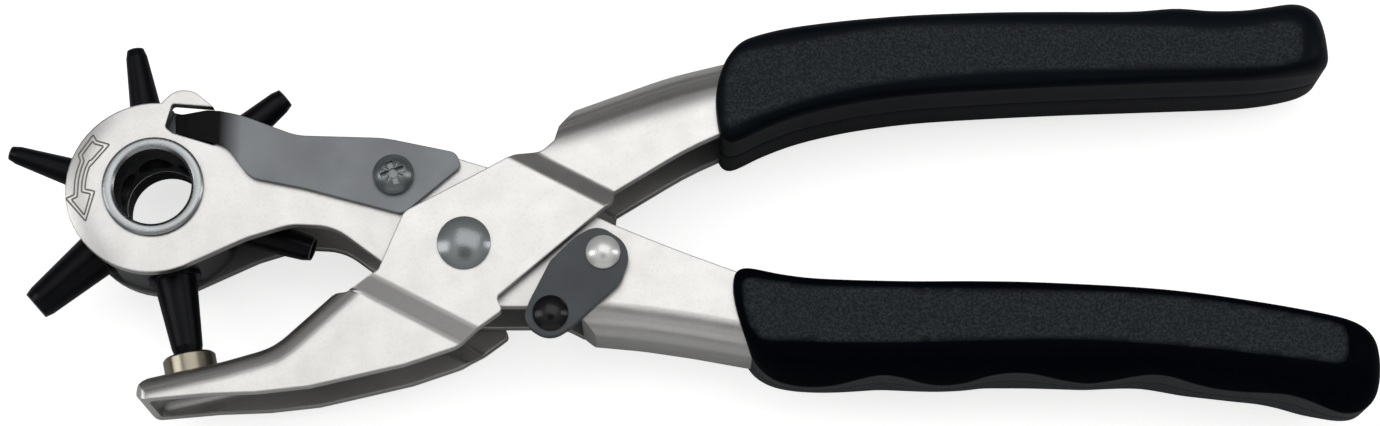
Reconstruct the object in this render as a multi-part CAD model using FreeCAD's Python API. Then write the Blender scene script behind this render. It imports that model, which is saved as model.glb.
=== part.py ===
"""Rotary hole punch: revolving pliers with six punch tubes, millimetres.

Saved parts have their origin on the turret axis, half way through the
thickness. +X runs along the handles, +Z along the turret axis towards the
side with the index spring. The dimensions below are set out from the main
pivot, and save() moves each part to the turret axis. The tool is drawn
closed, with the 4.0 mm tube over the anvil.
"""

import FreeCAD
import Part
import math
import os

V = FreeCAD.Vector
os.makedirs("parts", exist_ok=True)

# ---- driving dimensions -------------------------------------------------
SHEET = 2.0                 # steel sheet of both levers
HALF_W = 8.5                # half width of the folded channels
BEND_R = 4.7                # outside bend radius of the channels
GAP = 0.1                   # sliding gap between the levers' cheeks
PAD_IN = HALF_W + GAP       # inner face of the raised pads
PAD_OUT = PAD_IN + SHEET    # outer face of the raised pads
RUN = 0.05                  # radial running clearance

JOGGLE_DIR = 62.6           # direction across the joggle bands, degrees
JOGGLE_JAW = (-14.0, -11.2)     # start and end of the jaw side step
JOGGLE_HANDLE = (15.5, 18.7)    # start and end of the handle side step

TURRET_X, TURRET_Y = -49.6, 9.7
HEAD_R = 13.9
DRUM_R = 13.4
DRUM_SEAT = 12.7            # distance of the tube seats from the axis
DRUM_HALF = HALF_W - SHEET - 0.1
BUSH_BORE = 6.15
BUSH_R = 6.95
BUSH_FLANGE_R = 8.05
BUSH_DEPTH = 4.5            # inner end of each bush above the mid plane
SOCKET_R = 2.8              # threaded socket of a punch tube

ACTIVE = -78.0              # direction of the working tube
TUBE_SIZES = {"2_0": 162.0, "2_5": 102.0, "3_0": 42.0,
              "3_5": -18.0, "4_0": -78.0, "4_5": -138.0}
TUBE_TIP = 26.0
TUBE_COLLAR_R = 4.2
ANVIL_FACE = 26.2           # anvil face from the turret axis
ANVIL_R = 4.2

PIVOT_R = 3.2
PIVOT_HEAD_R = 4.22
SLEEVE_R = 4.4

SCREW_X, SCREW_Y = -11.4, 11.3
LOCK_X, LOCK_Y = 21.85, -1.4
PIN_X, PIN_Y = 13.7, -11.2
PIN_R = 1.35
PIN_END = 1.5
LOCK_T = 1.6
GRIP_HALF = 10.3
NOSE_SIDE = 2.4             # radius of the nose's upright corners
NOSE_ROUND = 1.5            # radius of the jaw nose's lower corner


# ---- drawing helpers ----------------------------------------------------
def rounded_wire(points):
    """Closed wire through (x, y, corner radius) points."""
    ends = []
    count = len(points)
    for i, (x, y, r) in enumerate(points):
        corner = V(x, y, 0)
        before = V(*points[i - 1][:2], 0) - corner
        after = V(*points[(i + 1) % count][:2], 0) - corner
        if r <= 0:
            ends.append((corner, corner, None))
            continue
        before.normalize()
        after.normalize()
        half = before.getAngle(after) / 2.0
        reach = r / math.tan(half)
        middle = before + after
        middle.normalize()
        tip = corner + middle * (r / math.sin(half) - r)
        ends.append((corner + before * reach, corner + after * reach, tip))
    edges = []
    for i, (start, end, tip) in enumerate(ends):
        if tip is not None:
            edges.append(Part.Arc(start, tip, end).toShape())
        following = ends[(i + 1) % count][0]
        if (following - end).Length > 1e-6:
            edges.append(Part.LineSegment(end, following).toShape())
    return Part.Wire(edges)


def slab(points, z0, z1):
    """Flat plate with a rounded outline between two heights."""
    face = Part.Face(rounded_wire(points))
    face.translate(V(0, 0, z0))
    return face.extrude(V(0, 0, z1 - z0))


def sharp(points, r=0.0):
    """Add one corner radius to a list of (x, y) points."""
    return [(x, y, r) for x, y in points]


def rod(r, z0, z1, x=0.0, y=0.0):
    """Round bar along z."""
    return Part.makeCylinder(r, z1 - z0, V(x, y, z0))


def spun(profile):
    """Solid of revolution about z from (radius, z) points."""
    face = Part.Face(Part.makePolygon([V(r, 0, z) for r, z in profile + profile[:1]]))
    return face.revolve(V(0, 0, 0), V(0, 0, 1), 360)


def domed(head_r, height, edge):
    """Domed head standing on z = 0."""
    points = [(0.0, 0.0), (head_r, 0.0), (head_r, edge)]
    ball = (head_r ** 2 + (height - edge) ** 2) / (2.0 * (height - edge))
    low = height - ball
    for i in range(1, 8):
        r = head_r * (1.0 - i / 8.0)
        points.append((r, low + math.sqrt(ball ** 2 - r ** 2)))
    points.append((0.0, height))
    return spun(points)


def mirrored(shape):
    """The same shape on the rear side."""
    return shape.mirror(V(0, 0, 0), V(0, 0, 1))


def is_flat(edge, half):
    """True for an edge lying in one of the two outer faces."""
    heights = [v.Z for v in edge.Vertexes]
    return abs(abs(heights[0]) - half) < 1e-4 and max(heights) - min(heights) < 1e-4


def near_path(edge, path, reach):
    """True when an edge's middle lies close to a line of points."""
    mid = edge.valueAt((edge.FirstParameter + edge.LastParameter) / 2.0)
    line = Part.makePolygon([V(x, y, mid.z) for x, y in path])
    return line.distToShape(Part.Vertex(mid))[0] < reach


def round_web(solid, path, half, radius, reach):
    """Round the long edges between a web and both cheeks."""
    edges = []
    for edge in solid.Edges:
        if is_flat(edge, half) and near_path(edge, path, reach):
            edges.append(edge)
    return solid.makeFillet(radius, edges)


def keep(solid):
    """Largest solid of a shape with shared faces merged."""
    clean = solid.removeSplitter()
    return max(clean.Solids, key=lambda s: s.Volume)


def save(name, shape):
    """Move a part to the turret axis and write its STEP file."""
    moved = shape.copy()
    moved.translate(V(-TURRET_X, -TURRET_Y, 0))
    moved.exportStep("parts/%s.step" % name)


# ---- anvil lever --------------------------------------------------------
JAW_WEB = [(-51.1, -20.9), (-38.0, -17.95), (-30.0, -15.6), (-21.0, -7.2)]
JAW_LOW = [(-9.1, -19.0), (-18.0, -21.1), (-24.0, -22.5), (-32.0, -23.4),
           (-40.0, -23.7), (-51.1, -24.7)]
HANDLE_WEB = [(17.4, 23.7), (32.0, 29.1), (46.0, 32.6), (60.0, 35.1),
              (84.0, 36.8), (128.0, 37.6)]
HANDLE_LOW = [(128.0, 29.0), (84.0, 27.7), (60.0, 25.0), (46.0, 21.0),
              (35.5, 16.4), (23.5, 8.9)]


def joggled_ribbon():
    """Front cheek sheet of the anvil lever with its two steps."""
    low, high = HALF_W, PAD_OUT
    j0, j1 = JOGGLE_JAW
    h0, h1 = JOGGLE_HANDLE
    top = [(-90, low), (j0, low), (j1, high), (h0, high), (h1, low), (160, low)]
    under = [(s, z - SHEET) for s, z in reversed(top)]
    wire = Part.makePolygon([V(s, 0, z) for s, z in top + under + top[:1]])
    sheet = Part.Face(wire).extrude(V(0, 260, 0))
    sheet.translate(V(0, -130, 0))
    corners = [e for e in sheet.Edges if is_joggle_corner(e)]
    sheet = sheet.makeFillet(1.6, corners)
    sheet.rotate(V(0, 0, 0), V(0, 0, 1), JOGGLE_DIR)
    return sheet


def is_joggle_corner(edge):
    """Bend lines of the two steps."""
    lines = JOGGLE_JAW + JOGGLE_HANDLE
    along_y = abs(edge.Vertexes[0].Y - edge.Vertexes[-1].Y) > 100
    return along_y and any(abs(edge.Vertexes[0].X - s) < 1e-3 for s in lines)


def cheek_outline():
    """Flat part of the anvil lever between its two webs."""
    top = [(-21.0, -7.2, 0.0), (-18.6, -7.3, 1.5), (-13.4, -4.4, 1.5), (-11.5, 0.4, 4.0),
           (-9.6, 5.1, 3.0), (3.4, 12.2, 0.0), (7.8, 14.7, 3.0), (11.9, 15.6, 3.0),
           (13.9, 17.4, 0.0)]
    right = [(23.5, 8.9, 0.0), (23.2, 6.9, 2.0), (5.2, -8.7, 0.8), (6.2, -10.8, 0.8),
             (-1.0, -16.2, 6.0), (-9.1, -19.0, 0.0)]
    return top + right


def folded_channel(outer, inner, web_out, web_in, half, radius):
    """Channel with one web: rounded outer block less rounded hollow."""
    block = slab(outer, -half, half)
    block = round_web(block, web_out, half, radius, 1.2)
    hollow = slab(inner, SHEET - half, half - SHEET)
    hollow = round_web(hollow, web_in, half - SHEET, radius - SHEET, 1.2)
    return block.cut(hollow)


def lowered(path, amount):
    """Path moved inwards (down) by the sheet thickness."""
    moved = []
    for i, (x, y) in enumerate(path):
        x0, y0 = path[max(i - 1, 0)]
        x1, y1 = path[min(i + 1, len(path) - 1)]
        size = math.hypot(x1 - x0, y1 - y0)
        moved.append((x + amount * (y1 - y0) / size, y - amount * (x1 - x0) / size))
    return moved


def jaw_channel():
    """Jaw with the anvil web on top and a closed rounded nose."""
    web = [(x, y, r) for (x, y), r in zip(JAW_WEB, (0.0, 40.0, 11.0, 0.0))]
    block = slab(web + sharp(JAW_LOW), -HALF_W, HALF_W)
    block = round_nose(block, HALF_W, 3.7, JAW_WEB).cut(nose_side_waste(HALF_W, NOSE_SIDE))
    inner_web = lowered(JAW_WEB, SHEET)
    inner_web[0] = (JAW_WEB[0][0] + SHEET, inner_web[0][1] + 0.4)
    inner_web[-1] = (inner_web[-1][0] + 4.0, inner_web[-1][1] + 3.8)
    path = [(x, y, r) for (x, y), r in zip(inner_web, (0.0, 42.0, 13.0, 0.0))]
    floor = [(2.0, -30.0, 0.0), (JAW_WEB[0][0] + SHEET, -30.0, 0.0)]
    hollow = slab(path + floor, SHEET - HALF_W, HALF_W - SHEET)
    hollow = round_nose(hollow, HALF_W - SHEET, 1.7, inner_web)
    hollow = hollow.cut(nose_side_waste(HALF_W - SHEET, NOSE_SIDE - 1.0))
    return block.cut([hollow, nose_corner_waste()])


def nose_corner_waste():
    """Sharp lower corner of the nose, outside its round."""
    x, y = JAW_LOW[-1]
    length = 2 * HALF_W + 2
    corner = Part.makeBox(NOSE_ROUND + 1, NOSE_ROUND + 1, length, V(x - 1, y - 1, -length / 2))
    return corner.cut(rod(NOSE_ROUND, -length, length, x + NOSE_ROUND, y + NOSE_ROUND + 0.15))


def round_nose(block, half, radius, web):
    """Round the web edges and the top edge of the closed nose."""
    x0 = web[0][0]
    edges = []
    for edge in block.Edges:
        at_nose = all(abs(v.X - x0) < 1e-4 for v in edge.Vertexes)
        if at_nose and min(v.Y for v in edge.Vertexes) > web[0][1] - 0.01:
            edges.append(edge)
        elif not at_nose and is_flat(edge, half) and near_path(edge, web, 1.2):
            edges.append(edge)
    return block.makeFillet(radius, edges)


def nose_side_waste(half, radius):
    """Sharp upright corners of the nose, outside their rounds."""
    x0 = JAW_WEB[0][0] + HALF_W - half
    waste = []
    for side in (-1, 1):
        z = side * half
        box = Part.makeBox(radius + 1, 20, radius + 1, V(x0 - 1, -35, min(z + side, z - side * radius)))
        tube = Part.makeCylinder(radius, 30, V(x0 + radius, -40, z - side * radius), V(0, 1, 0))
        waste.append(box.cut(tube))
    return waste


def upper_outline():
    """Outer outline of the upper handle's channel."""
    web = [(x, y, r) for (x, y), r in zip(HANDLE_WEB, (0.0, 60.0, 60.0, 80.0, 150.0, 0.0))]
    low = [(x, y, r) for (x, y), r in zip(HANDLE_LOW, (0.0, 100.0, 60.0, 60.0, 60.0, 0.0))]
    return web + low + [(13.9, 17.4, 0.0), (14.6, 19.9, 0.0)]


def handle_channel():
    """Upper handle channel, open towards the other handle."""
    inner_web = lowered(HANDLE_WEB, SHEET)
    inner_web[0] = (inner_web[0][0] - 6.0, inner_web[0][1] - 2.3)
    inner_web[-1] = (inner_web[-1][0] + 5.0, inner_web[-1][1])
    path = [(x, y, r) for (x, y), r in zip(inner_web, (0.0, 58.0, 58.0, 78.0, 148.0, 0.0))]
    inner = path + [(133.0, 10.0, 0.0), (60.0, 5.0, 0.0), (11.0, 5.0, 0.0)]
    return folded_channel(upper_outline(), inner, HANDLE_WEB, inner_web, HALF_W, BEND_R)


def web_end_waste():
    """Sliver above the jaw web's bend, carried a little way past the web's end."""
    x0, y0 = JAW_WEB[-2]
    x1, y1 = JAW_WEB[-1]
    size = math.hypot(x1 - x0, y1 - y0)
    ux, uy = (x1 - x0) / size, (y1 - y0) / size
    ax, ay = x1 - 2.0 * ux, y1 - 2.0 * uy
    bx, by = x1 + 4.5 * ux, y1 + 4.5 * uy
    waste = []
    for depth in (8.0, 3.69):
        dx, dy = depth * uy, -depth * ux
        corners = [(ax, ay), (bx, by), (bx + dx, by + dy), (ax + dx, ay + dy)]
        waste.append(slab(sharp(corners), 0, HALF_W))
    block, strip = waste
    edges = [e for e in block.Edges if is_flat(e, HALF_W) and near_path(e, [(ax, ay), (bx, by)], 0.1)]
    return strip.cut(block.makeFillet(3.7, edges))


def anvil_lever():
    """Outer lever: jaw, raised pivot pads and upper handle in one sheet."""
    ribbon = joggled_ribbon()
    outline = slab(cheek_outline(), 0, 14)
    cheek = ribbon.common(outline).cut(web_end_waste())
    frame = jaw_channel().fuse([handle_channel(), cheek, mirrored(cheek)])
    frame = frame.cut(rod(PIVOT_R + 0.02, -20, 20))
    frame = frame.cut(along_active(rod(2.05, -8, 8), ANVIL_FACE + 3.0))
    return keep(frame)


def along_active(shape, reach):
    """Turn a shape's +z towards the working direction, at a distance."""
    shape.rotate(V(0, 0, 0), V(0, 1, 0), 90)
    shape.translate(V(reach, 0, 0))
    shape.rotate(V(0, 0, 0), V(0, 0, 1), ACTIVE)
    shape.translate(V(TURRET_X, TURRET_Y, 0))
    return shape


def anvil():
    """Soft metal striking disc with a riveted stem."""
    thick = 3.27
    disc = spun([(0, 0), (ANVIL_R - 0.35, 0), (ANVIL_R, 0.35), (ANVIL_R, thick), (0, thick)])
    stem = spun([(0, thick - 0.5), (2.0, thick - 0.5), (2.0, thick + 2.1),
                 (2.7, thick + 2.1), (2.3, thick + 2.9), (0, thick + 2.9)])
    return along_active(disc.fuse(stem).removeSplitter(), ANVIL_FACE)


# ---- turret lever -------------------------------------------------------
def turret_cheek(front):
    """One cheek: round head, neck, pivot eye and handle side."""
    low = [(-44.0, 5.0, 0.0), (-43.8, -2.9, 0.0), (-34.6, 1.4, 12.0), (-27.6, 3.6, 9.0),
           (-20.8, 3.3, 9.0), (-12.6, -2.8, 9.0), (-9.0, -7.2, 3.0), (-5.2, -9.75, 2.0),
           (15.4, -9.75, 5.0), (18.4, -11.3, 0.0), (23.5, -8.6, 0.0)]
    top = [(23.5, 3.5, 0.0), (4.6, 12.5, 12.0), (-4.0, 15.2, 12.0),
           (-24.0, 17.0, 20.0), (-38.0, 17.5, 0.0)]
    cheek = slab(low + top, HALF_W - SHEET, HALF_W)
    cheek = cheek.fuse(rod(HEAD_R, HALF_W - SHEET, HALF_W, TURRET_X, TURRET_Y))
    if front:
        cheek = cheek.fuse(slab(ear(), HALF_W - SHEET, HALF_W))
        cheek = cheek.cut(slab(ear_window(), 0, 20))
        return cheek.cut(rod(1.75, 0, 20, SCREW_X, SCREW_Y))
    return mirrored(cheek).cut(rod(2.05, -20, 0, SCREW_X, SCREW_Y))


def ear():
    """Raised ear of the front cheek around the index window."""
    return [(-50.5, 20.0, 0.0), (-49.1, 23.4, 1.5), (-46.6, 26.0, 3.5), (-43.6, 25.5, 3.5),
            (-39.3, 21.9, 1.0), (-38.8, 15.0, 0.0), (-44.0, 14.0, 0.0)]


def ear_window():
    """Opening for the index nose."""
    return [(-47.2, 23.5, 0.6), (-48.2, 19.6, 0.8), (-46.9, 18.6, 0.6), (-39.7, 16.4, 0.6),
            (-39.7, 22.9, 0.6)]


LOWER_WEB = [(20.6, -13.5), (28.0, -14.2), (36.0, -15.4), (48.0, -17.6), (60.0, -18.2),
             (95.0, -17.9), (112.0, -18.5), (130.0, -20.6)]
LOWER_TOP = [(130.0, -11.6), (112.0, -9.2), (92.0, -7.6), (60.0, -7.3), (49.0, -6.4),
             (35.5, -1.4), (28.7, 1.3)]
LOWER_WEB_R = (0.0, 60.0, 60.0, 60.0, 60.0, 150.0, 150.0, 0.0)


def lower_outline():
    """Outer outline of the lower handle's channel."""
    web = [(x, y, r) for (x, y), r in zip(LOWER_WEB, LOWER_WEB_R)]
    top_r = (0.0, 80.0, 80.0, 80.0, 20.0, 80.0, 0.0)
    top = [(x, y, r) for (x, y), r in zip(LOWER_TOP, top_r)]
    return web + top + [(23.5, 3.5, 0.0), (23.5, -8.6, 0.0), (18.4, -11.3, 0.0)]


def lower_handle():
    """Lower handle channel with its web outwards."""
    inner_web = [(x, y + SHEET) for x, y in LOWER_WEB]
    inner_web[0] = (inner_web[0][0] - 5.0, inner_web[0][1] + 0.45)
    inner_web[-1] = (inner_web[-1][0] + 5.0, inner_web[-1][1] - 0.6)
    path = [(x, y, r) for (x, y), r in zip(inner_web, LOWER_WEB_R)]
    inner = path + [(135.0, 15.0, 0.0), (inner_web[0][0], 15.0, 0.0)]
    return folded_channel(lower_outline(), inner, LOWER_WEB, inner_web, HALF_W, BEND_R)


def turret_lever():
    """Inner lever: two flat cheeks joined by the lower handle's web."""
    frame = lower_handle().fuse([turret_cheek(True), turret_cheek(False)])
    cuts = [rod(BUSH_R + 0.02, -20, 20, TURRET_X, TURRET_Y),
            rod(PIVOT_R + RUN, -20, 20),
            rod(1.92, -20, 20, LOCK_X, LOCK_Y)]
    return keep(frame.cut(cuts))


def turret_bush():
    """Flanged hollow eyelet carrying one side of the turret."""
    top = HALF_W + 0.8
    bush = spun([(BUSH_BORE, BUSH_DEPTH), (BUSH_R, BUSH_DEPTH), (BUSH_R, HALF_W),
                 (BUSH_FLANGE_R, HALF_W), (BUSH_FLANGE_R, top - 0.25),
                 (BUSH_FLANGE_R - 0.35, top), (BUSH_BORE + 0.45, top),
                 (BUSH_BORE, top - 0.45)])
    bush.translate(V(TURRET_X, TURRET_Y, 0))
    return bush


# ---- turret -------------------------------------------------------------
def placed_radial(shape, angle):
    """Turn a shape drawn along z to point outwards at an angle."""
    shape.rotate(V(0, 0, 0), V(0, 1, 0), 90)
    shape.rotate(V(0, 0, 0), V(0, 0, 1), angle)
    shape.translate(V(TURRET_X, TURRET_Y, 0))
    return shape


def turret_drum():
    """Bored drum with six tube sockets, flats and index notches."""
    drum = rod(DRUM_R, -DRUM_HALF, DRUM_HALF)
    cuts = [rod(BUSH_BORE + 0.1, -20, 20),
            rod(BUSH_R + RUN, BUSH_DEPTH - 0.1, 20),
            rod(BUSH_R + RUN, -20, 0.1 - BUSH_DEPTH)]
    for angle in TUBE_SIZES.values():
        flat = Part.makeBox(4, 20, 40, V(DRUM_SEAT, -10, -20))
        flat.rotate(V(0, 0, 0), V(0, 0, 1), angle)
        socket = rod(SOCKET_R, 5, 20)
        socket.rotate(V(0, 0, 0), V(0, 1, 0), 90)
        socket.rotate(V(0, 0, 0), V(0, 0, 1), angle)
        notch = index_notch()
        notch.rotate(V(0, 0, 0), V(0, 0, 1), angle + 30)
        cuts += [flat, socket, notch]
    drum = drum.cut(cuts).removeSplitter()
    drum.translate(V(TURRET_X, TURRET_Y, 0))
    return drum


def index_notch():
    """Sawtooth notch in the drum's front face, steep ahead of the nose."""
    points = [V(9.2, 1.8, 7), V(9.2, 1.8, 5.3), V(9.2, -0.5, 5.3), V(9.2, -3.4, 6.6), V(9.2, -3.4, 7)]
    wire = Part.makePolygon(points + points[:1])
    return Part.Face(wire).extrude(V(8, 0, 0))


def punch_tube(size, angle):
    """Screw-in conical punch tube with a collar and a relieved bore."""
    hole = float(size.replace("_", ".")) / 2.0
    base = hole + 1.45
    tip = hole + 0.13
    stem = SOCKET_R - 0.02
    profile = [(hole + 0.2, 7.3), (stem - 0.3, 7.3), (stem, 7.6), (stem, DRUM_SEAT),
               (TUBE_COLLAR_R, DRUM_SEAT), (TUBE_COLLAR_R, DRUM_SEAT + 0.8),
               (base, DRUM_SEAT + 0.8), (tip + 0.35, TUBE_TIP - 1.3), (tip, TUBE_TIP),
               (hole, TUBE_TIP), (hole, TUBE_TIP - 4.0), (hole + 0.2, TUBE_TIP - 4.4)]
    return placed_radial(spun(profile), angle)


# ---- index spring, screw and spacer -------------------------------------
def index_spring():
    """Leaf plate on the front cheek with a nose bent into a turret notch."""
    outline = [(-46.7, 18.9, 0.5), (-46.9, 22.2, 0.5), (-41.5, 22.4, 4.0), (-36.0, 21.3, 20.0),
               (-27.0, 17.9, 10.0), (-13.0, 17.5, 20.0), (-1.6, 15.1, 1.8), (-0.7, 12.9, 1.2),
               (-9.8, 5.0, 1.8), (-25.7, 9.3, 20.0), (-34.2, 11.0, 4.0), (-38.2, 16.2, 4.0)]
    low = HALF_W + 0.05
    side = [(0, low + 1), (-39.3, low + 1), (-45.4, 6.75), (-48, 6.45),
            (-48, 5.5), (-45.7, 5.7), (-39.8, low), (0, low)]
    sheet = Part.Face(Part.makePolygon([V(x, 0, z) for x, z in side + side[:1]]))
    sheet = sheet.extrude(V(0, 40, 0))
    plate = sheet.common(slab(outline, 0, 20))
    return keep(plate.cut(rod(1.85, 0, 20, SCREW_X, SCREW_Y)))


def index_screw():
    """Pan head screw with a cross recess and small ticks between its arms."""
    under = HALF_W + 1.05
    head = domed(3.25, 2.4, 0.8)
    head.translate(V(0, 0, under))
    screw = head.fuse(rod(1.7, 0.5, under))
    slots = [rod(0.8, under + 1.0, under + 4)]
    for turn, length, width, depth in ((0, 3.9, 1.0, 1.25), (45, 3.4, 0.4, 0.55)):
        for quarter in (0, 90):
            bottom = under + 2.4 - depth
            slot = Part.makeBox(length, width, 3, V(-length / 2, -width / 2, bottom))
            slot.rotate(V(0, 0, 0), V(0, 0, 1), turn + quarter)
            slots.append(slot)
    screw = screw.cut(slots)
    screw.rotate(V(0, 0, 0), V(0, 0, 1), 20)
    screw.translate(V(SCREW_X, SCREW_Y, 0))
    return screw.removeSplitter()


def neck_spacer():
    """Threaded column between the cheeks, riveted into the rear one."""
    inner = HALF_W - SHEET
    post = rod(3.0, -inner, inner)
    post = post.fuse(rod(2.0, -HALF_W - 0.4, -inner))
    post = post.cut(rod(1.72, -1.0, 20))
    post.translate(V(SCREW_X, SCREW_Y, 0))
    return post.removeSplitter()


# ---- pivots -------------------------------------------------------------
def through_rivet(shank_r, head_r, height, edge, front, back):
    """Rivet with a domed head in front and one behind."""
    head = domed(head_r, height, edge)
    tail = mirrored(head)
    head.translate(V(0, 0, front))
    tail.translate(V(0, 0, -back))
    return rod(shank_r, -back, front).fuse([head, tail]).removeSplitter()


def pivot_rivet():
    """Main pivot through both levers."""
    return through_rivet(PIVOT_R, PIVOT_HEAD_R, 1.7, 0.45, PAD_OUT, PAD_OUT)


def pivot_sleeve():
    """Tube that keeps the cheeks apart and carries the spring."""
    inner = HALF_W - SHEET - 0.02
    return rod(SLEEVE_R, -inner, inner).cut(rod(PIVOT_R + RUN, -20, 20))


def spring_leg(mean_r, wire_r, angle, z, end):
    """Straight leg leaving the coil at an angle, with a rounded root."""
    turn = math.radians(angle)
    start = V(mean_r * math.cos(turn), mean_r * math.sin(turn), z)
    axis = V(end[0], end[1], z) - start
    leg = Part.makeCylinder(wire_r, axis.Length, start, axis)
    return leg.fuse(Part.makeSphere(wire_r, start))


def opening_spring():
    """Torsion spring of round wire with one leg in each handle."""
    wire_r, mean_r, pitch = 0.75, 5.35, 1.9
    first, last = 54.7, 328.5
    height = pitch * (2.0 + (last - first) / 360.0)
    helix = Part.makeHelix(pitch, height, mean_r)
    helix.translate(V(0, 0, -height / 2.0))
    start = V(mean_r, 0, -height / 2.0)
    ring = Part.Wire(Part.makeCircle(wire_r, start, V(0, 1, pitch / (2 * math.pi * mean_r))))
    coil = Part.Wire(helix.Edges).makePipeShell([ring], True, True)
    coil.rotate(V(0, 0, 0), V(0, 0, 1), first)
    lower = spring_leg(mean_r, wire_r, first, -height / 2.0, (24.0, -10.9))
    upper = spring_leg(mean_r, wire_r, last, height / 2.0, (19.5, 21.3))
    return keep(coil.fuse([lower, upper]))


# ---- lock lever ---------------------------------------------------------
def lock_plate():
    """Latch plate lying on the turret lever's front cheek."""
    outline = [(20.9, 3.2, 3.4), (26.6, -0.6, 4.0), (24.6, -6.2, 3.5), (17.0, -13.4, 4.0),
               (13.6, -15.6, 3.6), (9.2, -12.8, 3.0), (10.4, -9.2, 6.0), (13.6, -2.7, 1.6),
               (17.4, 1.0, 2.5)]
    plate = slab(outline, PAD_IN, PAD_IN + LOCK_T)
    return plate.cut([rod(1.9 + RUN, 0, 20, LOCK_X, LOCK_Y), rod(PIN_R + 0.02, 0, 20, PIN_X, PIN_Y)])


def lock_pin():
    """Stud that catches under the anvil lever's hook."""
    face = PAD_IN + LOCK_T
    head = domed(2.8, 1.5, 0.35)
    head.translate(V(0, 0, face))
    pin = rod(PIN_R, PIN_END, face).fuse(head).removeSplitter()
    pin.translate(V(PIN_X, PIN_Y, 0))
    return pin


def lock_rivet():
    """Shouldered rivet carrying the lock lever."""
    rivet = through_rivet(1.9, 2.72, 1.5, 0.3, PAD_IN + LOCK_T + 0.03, HALF_W + 0.03)
    inner = HALF_W - SHEET - 0.02
    rivet = rivet.fuse(rod(2.9, -inner, inner)).removeSplitter()
    rivet.translate(V(LOCK_X, LOCK_Y, 0))
    return rivet


# ---- grips --------------------------------------------------------------
UPPER_GRIP = [(39.4, 28.0, 6.0), (41.8, 34.0, 5.0), (51.5, 36.7, 40.0), (66.0, 38.6, 60.0),
              (90.0, 39.4, 60.0), (108.0, 39.4, 20.0), (114.0, 40.1, 20.0), (121.0, 39.6, 20.0),
              (131.0, 41.2, 6.0), (137.6, 40.4, 4.5), (139.0, 33.0, 5.0), (137.5, 28.6, 5.0),
              (131.0, 27.2, 20.0), (110.0, 26.3, 60.0), (86.0, 25.4, 60.0), (66.0, 23.7, 60.0),
              (53.0, 20.8, 40.0), (45.0, 17.4, 6.0), (40.6, 16.0, 3.4), (39.4, 22.0, 6.0)]
LOWER_GRIP = [(42.2, -7.0, 3.0), (42.6, -2.6, 2.2), (48.0, -3.7, 10.0), (56.0, -4.9, 40.0),
              (80.0, -5.2, 60.0), (100.0, -5.9, 60.0), (122.0, -8.0, 60.0), (138.0, -10.6, 10.0),
              (144.0, -12.6, 4.6), (144.6, -22.0, 4.0), (141.0, -26.4, 4.0), (135.4, -25.2, 6.0),
              (129.5, -22.9, 8.0), (118.2, -22.5, 8.0), (110.0, -20.4, 8.0), (104.0, -20.3, 8.0),
              (98.2, -21.6, 8.0), (88.0, -19.6, 9.0), (75.5, -21.3, 9.0), (66.0, -20.3, 9.0),
              (58.0, -21.1, 12.0), (50.0, -20.7, 8.0), (45.2, -18.6, 4.5), (43.6, -13.6, 5.0)]


def grip(outline, channel, web):
    """Soft sleeve with rounded edges around a handle's channel."""
    body = slab(outline, -GRIP_HALF, GRIP_HALF)
    flat = [e for e in body.Edges if is_flat(e, GRIP_HALF)]
    body = body.makeFillet(3.2, flat)
    half = HALF_W + 0.03
    core = Part.Face(rounded_wire(channel)).makeOffset2D(0.03, 2)
    core.translate(V(0, 0, -half))
    core = core.extrude(V(0, 0, 2 * half))
    core = round_web(core, web, half, BEND_R, 1.2)
    return keep(body.cut(core))


def main():
    """Write every part."""
    save("anvil_lever_frame", anvil_lever())
    save("turret_lever_frame", turret_lever())
    save("anvil", anvil())
    save("pivot_rivet", pivot_rivet())
    save("pivot_sleeve", pivot_sleeve())
    save("opening_spring", opening_spring())
    bush = turret_bush()
    save("turret_bush_front", bush)
    save("turret_bush_rear", mirrored(bush))
    save("turret_drum", turret_drum())
    for size, angle in TUBE_SIZES.items():
        save("punch_tube_" + size, punch_tube(size, angle))
    save("index_spring", index_spring())
    save("index_spring_screw", index_screw())
    save("neck_spacer", neck_spacer())
    save("lock_plate", lock_plate())
    save("lock_pin", lock_pin())
    save("lock_lever_rivet", lock_rivet())
    save("upper_grip", grip(UPPER_GRIP, upper_outline(), HANDLE_WEB))
    save("lower_grip", grip(LOWER_GRIP, lower_outline(), LOWER_WEB))


main()
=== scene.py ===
"""Looks of the rotary hole punch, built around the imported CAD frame."""
import math

import bmesh
import bpy
import numpy as np
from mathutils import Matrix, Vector
from mathutils.geometry import delaunay_2d_cdt


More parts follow.
